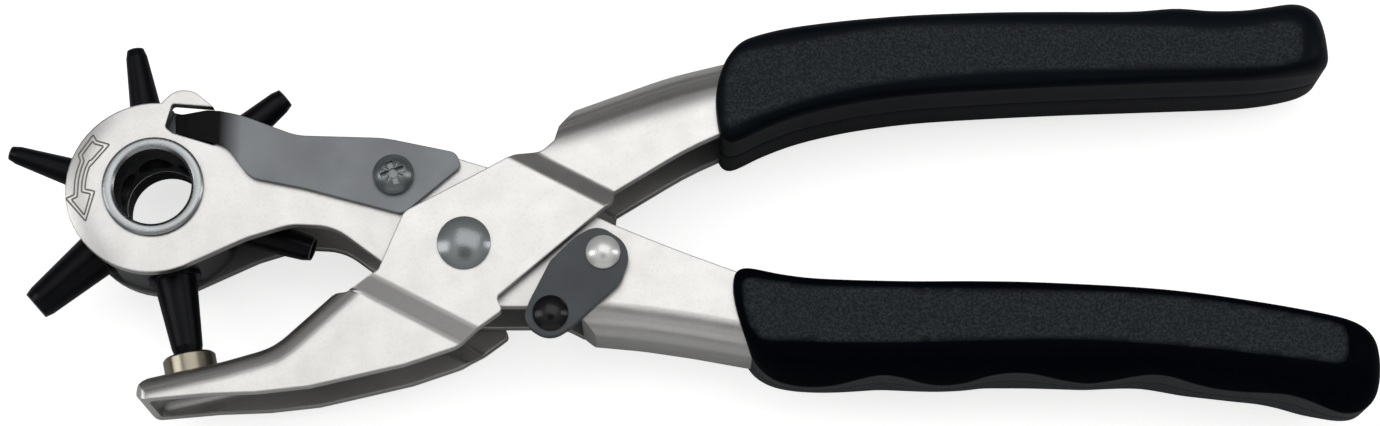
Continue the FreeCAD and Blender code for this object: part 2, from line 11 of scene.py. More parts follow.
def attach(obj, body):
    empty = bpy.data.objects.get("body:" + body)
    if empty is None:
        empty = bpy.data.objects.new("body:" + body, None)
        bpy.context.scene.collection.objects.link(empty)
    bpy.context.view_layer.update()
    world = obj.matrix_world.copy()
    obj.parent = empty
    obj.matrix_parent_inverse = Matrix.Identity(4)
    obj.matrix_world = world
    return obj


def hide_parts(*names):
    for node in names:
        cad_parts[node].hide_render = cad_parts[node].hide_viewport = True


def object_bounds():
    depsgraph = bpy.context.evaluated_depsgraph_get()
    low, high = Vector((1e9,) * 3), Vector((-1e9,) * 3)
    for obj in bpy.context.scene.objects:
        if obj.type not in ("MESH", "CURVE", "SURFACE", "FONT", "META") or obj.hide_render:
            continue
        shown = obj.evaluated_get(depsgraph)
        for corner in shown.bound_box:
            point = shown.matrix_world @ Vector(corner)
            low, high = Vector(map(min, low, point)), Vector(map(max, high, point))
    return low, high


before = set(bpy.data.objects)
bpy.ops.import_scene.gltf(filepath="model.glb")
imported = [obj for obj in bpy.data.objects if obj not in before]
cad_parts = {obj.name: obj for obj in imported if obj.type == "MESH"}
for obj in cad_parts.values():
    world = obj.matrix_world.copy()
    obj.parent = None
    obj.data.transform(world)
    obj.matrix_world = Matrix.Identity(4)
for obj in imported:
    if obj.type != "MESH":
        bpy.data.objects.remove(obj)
CAD_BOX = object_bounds()

# ---- dimensions of the frame, mm -----------------------------------------
MM = 0.001
PIVOT = (49.6, -9.7)        # main pivot from the turret axis
CHEEK_Z = 8.5               # outer faces of the levers' flat cheeks
RIM_CREST = 7.2             # radius of the crest of the eyelets' rims
BARE_TIP = (25.75, 25.95)   # radii where a tube's bare tip starts and is full
BLACK_NOSE = (13.8, 10.2)   # x where the leaf's black nose starts and is full
FOLD_REACH = 15.0           # how far into a fold the ambient occlusion looks, for the painted shade

# Each dome: bend lines (x0, y0, x1, y1); distance from them where the roll is
# full and where it ends; line that limits the roll; lean of the normal
JAW_DOME = (((-1.5, -30.6, 19.6, -25.3), (19.6, -25.3, 28.6, -16.9)), 1.5, 6.2,
            (51.8, -24.3, 36.0, -16.9), (-0.10, 0.22, 0.0))
HANDLE_DOME = (((67.0, 13.9, 95.6, 22.7),), 2.5, 8.8,
               (58.9, 4.3, 71.9, -2.3), (-0.14, 0.46, 0.0))
LIMIT_FADE = 3.0            # width of the fade at the limiting line
HEAD_FADE = (9.0, 14.0)     # radii where the round head's roll starts and is full
HEAD_LEAN = 0.24
RIM_LEAN = 0.42             # lean of the eyelet's rim per mm from its crest

# ---- shared colours and finish --------------------------------------------
# colour of the painted shade in the folds
FOLD_SHADE = (0.030, 0.030, 0.032)
OPEN_FACE_UNSHADED = 0.85      # share of the painted fold shade taken off the open outer faces
FINE_BUMP = 0.02 * MM       # depth of metal grain and turning lines
FACES_UP = (0.9, 0.97)      # normal z where a face starts to count as flat


# ---- shader helpers -----------------------------------------------------
def new_material(name):
    """Material with only a Principled shader, and its node tree."""
    mat = bpy.data.materials.new(name)
    mat.use_nodes = True
    tree = mat.node_tree
    tree.nodes.clear()
    out = tree.nodes.new("ShaderNodeOutputMaterial")
    bsdf = tree.nodes.new("ShaderNodeBsdfPrincipled")
    tree.links.new(bsdf.outputs[0], out.inputs[0])
    return mat, tree, bsdf


def add(tree, kind, inputs=None, **props):
    """Add a node, set its properties, and set or link its inputs."""
    node = tree.nodes.new(kind)
    for key, value in props.items():
        setattr(node, key, value)
    for key, value in (inputs or {}).items():
        plug(tree, value, node.inputs[key])
    return node


def plug(tree, value, socket):
    """Link a socket, or set a plain value."""
    if isinstance(value, bpy.types.NodeSocket):
        tree.links.new(value, socket)
    else:
        socket.default_value = value


def current(bsdf, name):
    """Socket that feeds a shader input now."""
    return bsdf.inputs[name].links[0].from_socket


def math_node(tree, op, a, b=0.0):
    return add(tree, "ShaderNodeMath", {0: a, 1: b}, operation=op).outputs[0]


def times(tree, a, b):
    return math_node(tree, "MULTIPLY", a, b)


def vector_node(tree, op, a, b=(0, 0, 0)):
    return add(tree, "ShaderNodeVectorMath", {0: a, 1: b}, operation=op)


def scaled(tree, vector, factor):
    inputs = {0: vector, "Scale": factor}
    return add(tree, "ShaderNodeVectorMath", inputs, operation="SCALE").outputs[0]


def dot(tree, a, b):
    return vector_node(tree, "DOT_PRODUCT", a, b).outputs["Value"]


def component(tree, vector, axis):
    """x, y or z of a vector (axis 0, 1 or 2)."""
    return add(tree, "ShaderNodeSeparateXYZ", {0: vector}).outputs[axis]


def fade(tree, value, start, end):
    """0 at start, 1 at end, smooth between."""
    return add(tree, "ShaderNodeMapRange", {"Value": value, "From Min": start, "From Max": end},
               interpolation_type="SMOOTHSTEP").outputs[0]


def linear(tree, value, start, end):
    """0 at start, 1 at end, straight between."""
    inputs = {"Value": value, "From Min": start, "From Max": end}
    return add(tree, "ShaderNodeMapRange", inputs).outputs[0]


def spread(tree, value, low, high):
    """Stretch a 0 to 1 value to low to high."""
    inputs = {"Value": value, "To Min": low, "To Max": high}
    return add(tree, "ShaderNodeMapRange", inputs).outputs[0]


def ramp(tree, value, stops):
    """Grey ramp from (position, value) stops."""
    node = add(tree, "ShaderNodeValToRGB", {0: value})
    elements = node.color_ramp.elements
    while len(elements) < len(stops):
        elements.new(0.5)
    for element, (position, grey) in zip(elements, stops):
        element.position = position
        element.color = (grey, grey, grey, 1)
    return node.outputs[0]


def mix(tree, fac, a, b):
    """Blend of two colours; each is a socket or an (r, g, b)."""
    node = add(tree, "ShaderNodeMix", data_type="RGBA")
    plug(tree, fac, node.inputs[0])
    for slot, color in ((6, a), (7, b)):
        plain = not isinstance(color, bpy.types.NodeSocket)
        plug(tree, (*color, 1) if plain else color, node.inputs[slot])
    return node.outputs[2]


def place(tree):
    """Object coordinates: metres from the turret axis, middle of the tool."""
    return add(tree, "ShaderNodeTexCoord").outputs["Object"]


def flat_place(tree):
    """Object coordinates without the height."""
    return vector_node(tree, "MULTIPLY", place(tree), (1, 1, 0)).outputs[0]


def radial(tree):
    """Distance from the turret axis, in millimetres."""
    return times(tree, vector_node(tree, "LENGTH", flat_place(tree)).outputs["Value"], 1 / MM)


def outward(tree):
    """Unit vector away from the turret axis."""
    return vector_node(tree, "NORMALIZE", flat_place(tree)).outputs[0]


def facing(tree):
    """z of the true face normal."""
    return component(tree, add(tree, "ShaderNodeNewGeometry").outputs["True Normal"], 2)


def line_distance(tree, x0, y0, x1, y1):
    """Signed distance (mm) to the left of the line through two points."""
    length = math.hypot(x1 - x0, y1 - y0)
    nx, ny = -(y1 - y0) / length, (x1 - x0) / length
    along = dot(tree, place(tree), (nx / MM, ny / MM, 0.0))
    return math_node(tree, "SUBTRACT", along, nx * x0 + ny * y0)


def noise(tree, scale, detail=4.0, rough=0.55, vector=None):
    inputs = {"Vector": vector or place(tree), "Scale": scale, "Detail": detail, "Roughness": rough}
    return add(tree, "ShaderNodeTexNoise", inputs).outputs[0]


def edge_mask(tree, radius, low, high):
    """1 on edges and 0 on flats, and the rounded normals that tell them apart."""
    rounded = add(tree, "ShaderNodeBevel", {"Radius": radius}, samples=6).outputs[0]
    normal = add(tree, "ShaderNodeNewGeometry").outputs["Normal"]
    bent = math_node(tree, "SUBTRACT", 1.0, dot(tree, rounded, normal))
    return linear(tree, bent, low, high), rounded


def bump(tree, height, strength, distance, normal=None):
    """Normal bent by a height, on top of another normal where one is given."""
    inputs = {"Height": height, "Strength": strength, "Distance": distance}
    if normal is not None:
        inputs["Normal"] = normal
    return add(tree, "ShaderNodeBump", inputs).outputs[0]


def lean_normal(tree, bsdf, leans):
    """Tip the shading normal by vectors, on faces that point up only."""
    flat = fade(tree, facing(tree), *FACES_UP)
    normal = current(bsdf, "Normal")
    for lean in leans:
        normal = vector_node(tree, "ADD", normal, scaled(tree, lean, flat)).outputs[0]
    plug(tree, vector_node(tree, "NORMALIZE", normal).outputs[0], bsdf.inputs["Normal"])


# ---- materials ------------------------------------------------------------
def metal(name, color, dark, rough, grain, wear=0.0, wear_color=(0.8, 0.8, 0.8), edge=0.25 * MM,
          metallic=1.0, cloud=0.25):
    """Plated or coated metal: cloudy colour, fine grain bump, worn edges."""
    mat, tree, bsdf = new_material(name)
    clouds = ramp(tree, noise(tree, 90.0, 5.0), [(0.35, 0.0), (0.7, cloud)])
    base = mix(tree, clouds, color, dark)
    mask, rounded = edge_mask(tree, edge, 0.01, 0.25)
    speck = ramp(tree, noise(tree, 700.0, 4.0), [(0.35, 0.0), (0.6, 1.0)])
    worn = times(tree, times(tree, mask, speck), wear)
    plug(tree, mix(tree, worn, base, wear_color), bsdf.inputs["Base Color"])
    bsdf.inputs["Metallic"].default_value = metallic
    uneven = spread(tree, noise(tree, 260.0, 5.0), rough - 0.06, rough + 0.08)
    plug(tree, uneven, bsdf.inputs["Roughness"])
    fine = bump(tree, noise(tree, 2600.0, 3.0), grain, FINE_BUMP, rounded)
    plug(tree, fine, bsdf.inputs["Normal"])
    return mat, tree, bsdf


def add_fold_shade(tree, bsdf):
    """Painted shade: darker, duller metal deep in the folds, and little of it on the open outer
    faces.
    """
    ambient = add(tree, "ShaderNodeAmbientOcclusion", {"Distance": FOLD_REACH * MM}, samples=4)
    height = component(tree, place(tree), 2)
    above = fade(tree, height, (CHEEK_Z - 1.0) * MM, (CHEEK_Z - 0.3) * MM)
    outside = times(tree, fade(tree, facing(tree), 0.6, 0.85), above)
    kept = math_node(tree, "SUBTRACT", 1.0, times(tree, outside, OPEN_FACE_UNSHADED))
    # painted shade: ambient occlusion darkens the colour and dulls the metal in the folds
    fold_shade = times(tree, ramp(tree, ambient.outputs["AO"], [(0.34, 0.97), (0.80, 0.0)]), kept)
    plug(tree, mix(tree, fold_shade, current(bsdf, "Base Color"), FOLD_SHADE), bsdf.inputs["Base Color"])
    unshaded = math_node(tree, "SUBTRACT", 1.0, fold_shade)
    plug(tree, unshaded, bsdf.inputs["Metallic"])
    plug(tree, times(tree, unshaded, 0.5), bsdf.inputs["Specular IOR Level"])


def head_roll(tree):
    """Outward lean of the turret cheek near the far side of its round rim."""
    away = fade(tree, component(tree, place(tree), 0), 0.0, -13.0 * MM)
    roll = times(tree, fade(tree, radial(tree), *HEAD_FADE), away)
    return scaled(tree, outward(tree), times(tree, roll, HEAD_LEAN))


def dome_roll(tree, bends, near, far, limit, lean):
    """Lean of a flat that rolls over towards its bend lines."""
    gap = line_distance(tree, *bends[0])
    for bend in bends[1:]:
        gap = math_node(tree, "MINIMUM", gap, line_distance(tree, *bend))
    roll = times(tree, fade(tree, gap, -far, -near),
                 fade(tree, line_distance(tree, *limit), 0.0, LIMIT_FADE))
    return scaled(tree, lean, roll)


def lever_material(name, domes, round_head=False):
    """Satin nickel on pressed sheet, with faint stains, pits and painted shade in the folds."""
    mat, tree, bsdf = metal(name, (0.76, 0.752, 0.735), (0.67, 0.662, 0.645), 0.34, 0.35,
                            edge=0.35 * MM)
    stain = ramp(tree, noise(tree, 45.0, 7.0, 0.7), [(0.40, 0.0), (0.80, 0.22)])
    base = mix(tree, stain, current(bsdf, "Base Color"), (0.52, 0.50, 0.46))
    pits = ramp(tree, noise(tree, 2300.0, 2.0, 0.6), [(0.28, 0.22), (0.50, 0.0)])
    base = mix(tree, pits, base, (0.50, 0.495, 0.485))
    plug(tree, base, bsdf.inputs["Base Color"])
    # painted shade in the folds
    add_fold_shade(tree, bsdf)
    leans = [head_roll(tree)] if round_head else []
    lean_normal(tree, bsdf, leans + [dome_roll(tree, *dome) for dome in domes])
    return mat


def turning_lines(tree, bsdf, pitch, strength):
    """Fine rings about the turret axis, pitch in mm."""
    rings = math_node(tree, "SINE", times(tree, radial(tree), math.tau / pitch))
    ringed = bump(tree, rings, strength, FINE_BUMP, current(bsdf, "Normal"))
    plug(tree, ringed, bsdf.inputs["Normal"])


def turned(name, color, rough, pitch, strength, metallic=1.0):
    """Metal part turned about the turret axis."""
    dark = tuple(c * 0.7 for c in color)
    mat, tree, bsdf = metal(name, color, dark, rough, 0.2, metallic=metallic)
    turning_lines(tree, bsdf, pitch, strength)
    return mat, tree, bsdf


def eyelet_material():
    """Turned zinc with a rolled rim, and painted shade that darkens its bore and other steep walls.
    """
    mat, tree, bsdf = turned("turned_zinc", (0.455, 0.47, 0.48), 0.26, 0.18, 0.18)
    # painted shade: faces that turn sideways are darkened
    bore_shade = fade(tree, math_node(tree, "ABSOLUTE", facing(tree)), 0.6, 0.2)
    color = mix(tree, bore_shade, current(bsdf, "Base Color"), (0.04, 0.042, 0.045))
    plug(tree, color, bsdf.inputs["Base Color"])
    tilt = times(tree, math_node(tree, "SUBTRACT", radial(tree), RIM_CREST), RIM_LEAN)
    lean_normal(tree, bsdf, [scaled(tree, outward(tree), tilt)])
    return mat


def tube_material():
    """Blackened punch tube: turning lines, paler cutting edge at the tip."""
    mat, tree, bsdf = metal("blackened_tube", (0.0022, 0.0026, 0.0042), (0.005, 0.0055, 0.0075),
                            0.30, 0.25, wear=0.25, wear_color=(0.16, 0.16, 0.17),
                            edge=0.2 * MM, metallic=0.0)
    bsdf.inputs["Specular IOR Level"].default_value = 0.14
    turning_lines(tree, bsdf, 0.35, 0.18)
    tip = times(tree, linear(tree, radial(tree), *BARE_TIP), 0.35)
    color = mix(tree, tip, current(bsdf, "Base Color"), (0.35, 0.35, 0.36))
    plug(tree, color, bsdf.inputs["Base Color"])
    return mat


def leaf_material():
    """Grey phosphated leaf whose bent nose is black."""
    mat, tree, bsdf = metal("phosphated_leaf", (0.245, 0.257, 0.272), (0.18, 0.187, 0.197),
                            0.44, 0.5, wear=0.5, wear_color=(0.5, 0.5, 0.5), cloud=0.6)
    start, full = BLACK_NOSE
    nose = linear(tree, component(tree, place(tree), 0), start * MM, full * MM)
    color = mix(tree, nose, current(bsdf, "Base Color"), (0.004, 0.004, 0.005))
    plug(tree, color, bsdf.inputs["Base Color"])
    grey = math_node(tree, "SUBTRACT", 1.0, nose)
    plug(tree, times(tree, grey, 0.85), bsdf.inputs["Metallic"])
    bsdf.inputs["Specular IOR Level"].default_value = 0.1
    return mat


def anvil_material():
    """Soft brass disc with small dents."""
    mat, tree, bsdf = metal("dull_brass", (0.41, 0.375, 0.29), (0.20, 0.18, 0.14), 0.24, 0.4,
                            wear=0.5, wear_color=(0.72, 0.66, 0.52), cloud=0.7)
    dents = add(tree, "ShaderNodeTexVoronoi", {"Vector": place(tree), "Scale": 900.0}).outputs[0]
    dented = bump(tree, dents, 0.2, 0.03 * MM, current(bsdf, "Normal"))
    plug(tree, dented, bsdf.inputs["Normal"])
    return mat


def grip_material():
    """Moulded vinyl: grained faces and black shoulders, with a painted reflection that lightens the
    side walls and the upper grip's shoulders.
    """
    mat, tree, bsdf = new_material("vinyl_grip")
    panel = add(tree, "ShaderNodeAttribute", attribute_name="panel").outputs["Fac"]
    side = add(tree, "ShaderNodeAttribute", attribute_name="side").outputs["Fac"]
    stretched = add(tree, "ShaderNodeMapping", {"Vector": place(tree), "Scale": (25, 300, 300)})
    flow = ramp(tree, noise(tree, 1.0, 5.0, 0.6, stretched.outputs[0]), [(0.3, 0.0), (0.7, 1.0)])
    black = mix(tree, flow, (0.0010, 0.0020, 0.0040), (0.0019, 0.0030, 0.0052))
    # painted reflection: lighter vinyl colour where the side attribute is set
    painted_reflection = mix(tree, flow, (0.0042, 0.0075, 0.0112), (0.0098, 0.0138, 0.0180))
    patch = ramp(tree, noise(tree, 2500.0, 2.0, 0.7), [(0.38, 0.0), (0.64, 1.0)])
    grainy = mix(tree, patch, (0.0008, 0.0024, 0.0044), (0.0245, 0.0328, 0.0400))
    color = mix(tree, panel, mix(tree, side, black, painted_reflection), grainy)
    plug(tree, color, bsdf.inputs["Base Color"])
    plug(tree, spread(tree, panel, 0.38, 0.60), bsdf.inputs["Roughness"])
    cells = add(tree, "ShaderNodeTexVoronoi",
                {"Vector": place(tree), "Scale": 1500.0, "Smoothness": 0.6}, feature="SMOOTH_F1")
    height = math_node(tree, "ADD", cells.outputs[0], noise(tree, 1900.0, 4.0, 0.6))
    grain = bump(tree, height, spread(tree, panel, 0.03, 0.8), 0.12 * MM)
    plug(tree, grain, bsdf.inputs["Normal"])
    shine = math_node(tree, "ADD", times(tree, panel, 0.23), times(tree, side, 0.13))
    plug(tree, math_node(tree, "ADD", shine, 0.006), bsdf.inputs["Specular IOR Level"])
    return mat


# ---- grips ----------------------------------------------------------------
GRIP_HALF = 10.3            # half thickness of both grips
# Rows round each grip, mm from the main pivot: outline x, y; edge of the
# grained panel x, y; height where the side wall ends; crease angle there.
UPPER = [
    (39.6, 23.5, 40.8, 23.3, 9.0, 0), (39.8, 26.0, 40.9, 25.7, 9.0, 0),
    (40.4, 28.6, 41.3, 28.1, 8.8, 0), (41.5, 31.2, 42.0, 30.1, 8.4, 0),
    (43.6, 33.8, 43.6, 31.6, 7.9, 0), (46.4, 35.1, 46.6, 32.4, 7.7, 0),
    (51.5, 36.4, 51.7, 33.4, 7.5, 0), (58.7, 37.4, 58.9, 34.7, 7.5, 0),
    (65.9, 38.1, 66.0, 35.8, 7.5, 0), (73.1, 38.6, 73.1, 36.3, 7.5, 0),
    (83.9, 39.0, 83.9, 36.5, 7.5, 0), (93.6, 39.1, 93.6, 36.5, 7.5, 0),
    (101.2, 39.1, 101.2, 36.4, 7.5, 0), (107.5, 39.2, 107.5, 36.3, 7.5, 0),
    (113.8, 39.7, 113.6, 36.1, 7.5, 0), (119.2, 39.3, 119.0, 35.8, 7.5, 0),
    (124.6, 39.4, 124.1, 36.0, 7.4, 0), (128.6, 40.0, 127.8, 36.6, 7.0, 0),
    (132.2, 40.7, 130.6, 37.0, 6.4, 0), (134.7, 40.6, 132.2, 36.9, 5.6, 0),
    (136.9, 39.3, 133.2, 36.3, 4.9, 0), (137.9, 37.0, 133.6, 35.3, 4.6, 0),
    (138.4, 33.6, 133.7, 33.3, 4.6, 0), (138.3, 31.0, 133.6, 31.5, 5.0, 4),
    (136.6, 29.4, 132.9, 30.2, 6.0, 10), (133.0, 28.5, 131.1, 29.5, 7.0, 16),
    (129.0, 27.9, 128.2, 29.1, 7.7, 20), (124.6, 27.5, 124.3, 28.9, 7.9, 20),
    (113.6, 27.1, 113.4, 28.7, 8.1, 20), (102.5, 26.7, 102.4, 28.6, 8.1, 20),
    (94.8, 26.4, 94.6, 28.5, 8.1, 20), (84.9, 25.9, 84.7, 28.1, 8.1, 20),
    (73.9, 25.2, 73.5, 27.2, 8.1, 20), (66.0, 24.3, 65.5, 26.1, 8.1, 20),
    (59.2, 23.1, 58.5, 24.7, 8.1, 20), (52.6, 21.4, 51.8, 22.8, 8.1, 20),
    (47.2, 19.3, 46.4, 20.8, 8.1, 18), (43.8, 17.6, 43.3, 19.5, 8.2, 14),
    (41.7, 17.0, 41.9, 18.9, 8.4, 8), (40.3, 18.2, 41.0, 19.5, 8.8, 2),
    (39.8, 20.8, 40.7, 21.2, 9.0, 0)]
LOWER = [
    (42.4, -8.5, 43.6, -8.7, 9.0, 0), (42.3, -5.6, 43.5, -6.8, 8.8, 0),
    (42.9, -3.9, 43.8, -5.8, 8.2, 0), (44.4, -3.4, 44.9, -5.4, 7.6, 0),
    (46.6, -3.7, 46.9, -5.6, 7.3, 0), (50.0, -4.4, 50.2, -6.1, 7.2, 0),
    (56.0, -5.1, 56.1, -6.7, 7.2, 0), (68.6, -5.5, 68.6, -7.0, 7.2, 0),
    (80.5, -5.5, 80.5, -7.1, 7.2, 0), (90.6, -5.7, 90.5, -7.3, 7.2, 0),
    (105.6, -6.5, 105.4, -7.9, 7.2, 0), (115.6, -7.5, 115.3, -8.8, 7.2, 0),
    (125.6, -9.0, 125.2, -10.3, 7.1, 0), (133.0, -10.3, 132.2, -11.6, 6.8, 0),
    (138.4, -11.4, 136.2, -12.6, 6.0, 0), (141.6, -12.7, 137.6, -13.3, 5.2, 0),
    (143.4, -14.6, 138.1, -14.5, 4.6, 0), (144.1, -17.5, 138.2, -16.4, 4.2, 4),
    (144.0, -21.0, 138.0, -18.0, 3.8, 10), (143.0, -23.8, 137.4, -19.0, 3.4, 18),
    (140.9, -25.5, 136.2, -19.3, 3.0, 26), (138.4, -25.8, 134.8, -19.2, 2.9, 30),
    (135.7, -25.2, 132.8, -18.9, 3.8, 32), (132.8, -24.3, 130.3, -18.6, 5.1, 34),
    (129.5, -23.3, 127.4, -18.2, 5.2, 34), (126.1, -22.8, 124.3, -17.9, 4.3, 34),
    (122.1, -22.5, 120.6, -17.4, 3.7, 34), (118.0, -22.0, 116.8, -17.0, 3.8, 34),
    (114.2, -21.3, 113.3, -16.7, 4.9, 34), (111.0, -20.5, 110.3, -16.4, 5.8, 34),
    (108.1, -20.1, 107.6, -16.2, 5.5, 34), (105.4, -20.2, 105.0, -16.0, 4.5, 34),
    (101.9, -20.6, 101.6, -15.8, 3.0, 34), (98.2, -20.9, 98.0, -15.6, 2.3, 34),
    (94.4, -20.6, 94.2, -15.5, 3.2, 34), (89.5, -20.0, 89.4, -15.5, 5.4, 34),
    (85.7, -19.9, 85.6, -15.6, 5.8, 34), (82.2, -20.2, 82.1, -15.7, 4.5, 34),
    (79.0, -20.9, 78.9, -15.8, 2.8, 34), (75.3, -21.2, 75.2, -15.9, 2.2, 34),
    (72.2, -21.0, 72.1, -15.9, 3.0, 34), (69.1, -20.5, 69.0, -16.0, 4.8, 34),
    (65.8, -20.2, 65.7, -16.0, 5.7, 34), (62.5, -20.6, 62.4, -16.0, 4.7, 34),
    (58.8, -21.2, 58.7, -16.0, 2.8, 34), (55.1, -21.4, 55.0, -15.9, 1.9, 34),
    (51.5, -21.1, 51.6, -15.8, 2.0, 32), (48.4, -20.2, 49.2, -15.8, 2.8, 28),
    (46.0, -18.4, 47.3, -15.6, 4.4, 20), (44.6, -16.0, 45.9, -14.9, 6.6, 10),
    (43.4, -12.6, 44.4, -12.4, 8.6, 2)]
# Stations along each handle channel: x, web height, open-edge height (mm)
UPPER_CORE = [(36.0, 30.3, 16.5), (46.0, 32.6, 21.0), (60.0, 35.1, 25.0), (84.0, 36.8, 27.7),
              (128.2, 37.6, 29.0)]
LOWER_CORE = [(36.0, -15.4, -1.6), (48.0, -17.6, -6.2), (60.0, -18.2, -7.3), (92.0, -17.9, -7.6),
              (112.0, -18.5, -9.2), (130.2, -20.6, -11.6)]
CORE_HALF = 8.5             # half width of the handle channels
BEND_R = 4.7                # outside bend radius of the channels
CORE_GAP = 0.18             # play between a channel and its sleeve
CORE_LOOPS = 80             # sections along a core
CORE_BEND_POINTS = 8        # points round each bend of a section
SPLINE_STEP = 0.1           # spacing of the raw curve round a grip
GRIP_STEP = 0.55            # spacing of the samples round a grip
GRIP_SMOOTHING = 2          # rounds of smoothing of those samples
PANEL_PITCH = 0.9           # size of the flat panels' triangles
PANEL_ROW = 0.87            # height of a row of them, as a share of the pitch
PANEL_CLEAR = 0.6           # gap left at the rim, as a share of the pitch
PARTING = ((0.0, 0.12), (0.16, 0.05), (0.35, 0.0))  # height and depth of its groove
WALL_SHARES = (0.3, 0.6, 0.85)          # loops up the side wall
SHOULDER_LEAD = 0.12        # last wall loop, this far below the shoulder
SHOULDER_STEPS = (0.0, 0.03, 0.1, 0.2, 0.3, 0.42, 0.54, 0.66, 0.78, 0.89, 0.97, 1.0)


def closed_spline(points, step):
    """Evenly spaced samples of a closed Catmull-Rom curve through rows."""
    pts = np.array(points, float)
    rows = []
    for i in range(len(pts)):
        p0, p1, p2, p3 = (pts[(i + k) % len(pts)] for k in (-1, 0, 1, 2))
        count = max(2, int(np.linalg.norm((p2 - p1)[:2]) / SPLINE_STEP))
        for t in np.arange(count) / count:
            rows.append(0.5 * (2 * p1 + (p2 - p0) * t + (2 * p0 - 5 * p1 + 4 * p2 - p3) * t * t
                               + (3 * p1 - p0 - 3 * p2 + p3) * t ** 3))
    return resampled(np.array(rows), step)


def resampled(rows, step):
    """Closed list of rows, evenly spaced along its x, y line."""
    closed = np.vstack([rows, rows[:1]])
    gaps = np.linalg.norm(np.diff(closed[:, :2], axis=0), axis=1)
    run = np.concatenate([[0], np.cumsum(gaps)])
    at = np.linspace(0, run[-1], int(run[-1] / step), endpoint=False)
    return np.stack([np.interp(at, run, column) for column in closed.T], axis=1)


def smooth_rows(rows, rounds):
    """Circular smoothing of a closed list of rows."""
    for _ in range(rounds):
        rows = 0.25 * np.roll(rows, 1, 0) + 0.5 * rows + 0.25 * np.roll(rows, -1, 0)
    return rows


def inward(outline):
    """Unit inward normals of a closed outline."""
    ahead = np.roll(outline, -1, 0) - np.roll(outline, 1, 0)
    normal = np.stack([ahead[:, 1], -ahead[:, 0]], 1)
    normal /= np.linalg.norm(normal, axis=1)[:, None]
    x, y = outline[:, 0], outline[:, 1]
    area = np.sum(x * np.roll(y, -1) - np.roll(x, -1) * y)
    return normal if area < 0 else -normal


def make_mesh(name, verts, faces):
    """Smooth mesh object from points in metres."""
    mesh = bpy.data.meshes.new(name)
    mesh.from_pydata([tuple(v) for v in verts], [], faces)
    mesh.update()
    mesh.validate()
    obj = bpy.data.objects.new(name, mesh)
    bpy.context.scene.collection.objects.link(obj)
    for poly in mesh.polygons:
        poly.use_smooth = True
    return obj


def inside(points, loop):
    """Which points lie inside a closed loop."""
    hit = np.zeros(len(points), bool)
    ax, ay = loop[:, 0], loop[:, 1]
    bx, by = np.roll(ax, -1), np.roll(ay, -1)
    for k, (px, py) in enumerate(points):
        span = (ay > py) != (by > py)
        cross = ax[span] + (py - ay[span]) * (bx[span] - ax[span]) / (by[span] - ay[span])
        hit[k] = np.count_nonzero(px < cross) % 2 == 1
    return hit


def panel_triangles(rim, pitch):
    """Points inside the rim loop and triangles that fill it."""
    low, high = rim.min(0), rim.max(0)
    xs = np.arange(low[0], high[0], pitch)
    ys = np.arange(low[1], high[1], pitch * PANEL_ROW)
    grid = np.array([(x + (k % 2) * pitch / 2, y) for k, y in enumerate(ys) for x in xs])
    grid = grid[inside(grid, rim)]
    gap = np.min(np.linalg.norm(grid[:, None] - rim[None], axis=2), axis=1)
    grid = grid[gap > PANEL_CLEAR * pitch]
    points = [Vector(p) for p in np.vstack([rim, grid])]
    count = len(rim)
    loop = [(i, (i + 1) % count) for i in range(count)]
    _, _, faces, origin, _, _ = delaunay_2d_cdt(points, loop, [], 1, 1e-6)
    index = [ids[0] for ids in origin]
    return grid, [tuple(index[i] for i in face) for face in faces]


def skin_faces(loops, count):
    """Quads between neighbours in a stack of closed loops of count points."""
    faces = []
    for k in range(loops - 1):
        low, high = k * count, (k + 1) * count
        for i in range(count):
            j = (i + 1) % count
            faces.append((low + i, low + j, high + j, high + i))
    return faces


def channel_core(name, stations, web_up):
    """Solid that fills a handle channel, a little bigger all round."""
    table = np.array(stations)
    sign = 1.0 if web_up else -1.0
    half = CORE_HALF + CORE_GAP
    radius = BEND_R + CORE_GAP
    verts = []
    xs = np.linspace(table[0, 0], table[-1, 0], CORE_LOOPS)
    web = np.interp(xs, table[:, 0], table[:, 1]) + sign * CORE_GAP
    lip = np.interp(xs, table[:, 0], table[:, 2]) - sign * CORE_GAP
    bend = [(radius * (1 - math.sin(a)), radius * (1 - math.cos(a)))
            for a in np.radians(np.linspace(0, 90, CORE_BEND_POINTS))]
    for x, w, e in zip(xs, web, lip):
        side = [(e, half)] + [(w - sign * down, half - back) for down, back in bend]
        for y, z in side + [(y, -z) for y, z in reversed(side)]:
            verts.append(((x + PIVOT[0]) * MM, (y + PIVOT[1]) * MM, z * MM))
    ring = len(verts) // len(xs)
    faces = skin_faces(len(xs), ring)
    faces.append(tuple(range(ring - 1, -1, -1)))
    faces.append(tuple((len(xs) - 1) * ring + i for i in range(ring)))
    obj = make_mesh(name, verts, faces)
    fix_normals(obj)
    return obj


def fix_normals(obj):
    """Make all faces point outwards."""
    edit = bmesh.new()
    edit.from_mesh(obj.data)
    bmesh.ops.recalc_face_normals(edit, faces=edit.faces)
    edit.to_mesh(obj.data)
    edit.free()


def carve(obj, core):
    """Cut the core out of a sleeve and keep the result as its mesh."""
    cut = obj.modifiers.new("socket", "BOOLEAN")
    cut.operation, cut.solver, cut.object = "DIFFERENCE", "EXACT", core
    graph = bpy.context.evaluated_depsgraph_get()
    mesh = bpy.data.meshes.new_from_object(obj.evaluated_get(graph))
    obj.modifiers.clear()
    obj.data = mesh
    bpy.data.objects.remove(core)


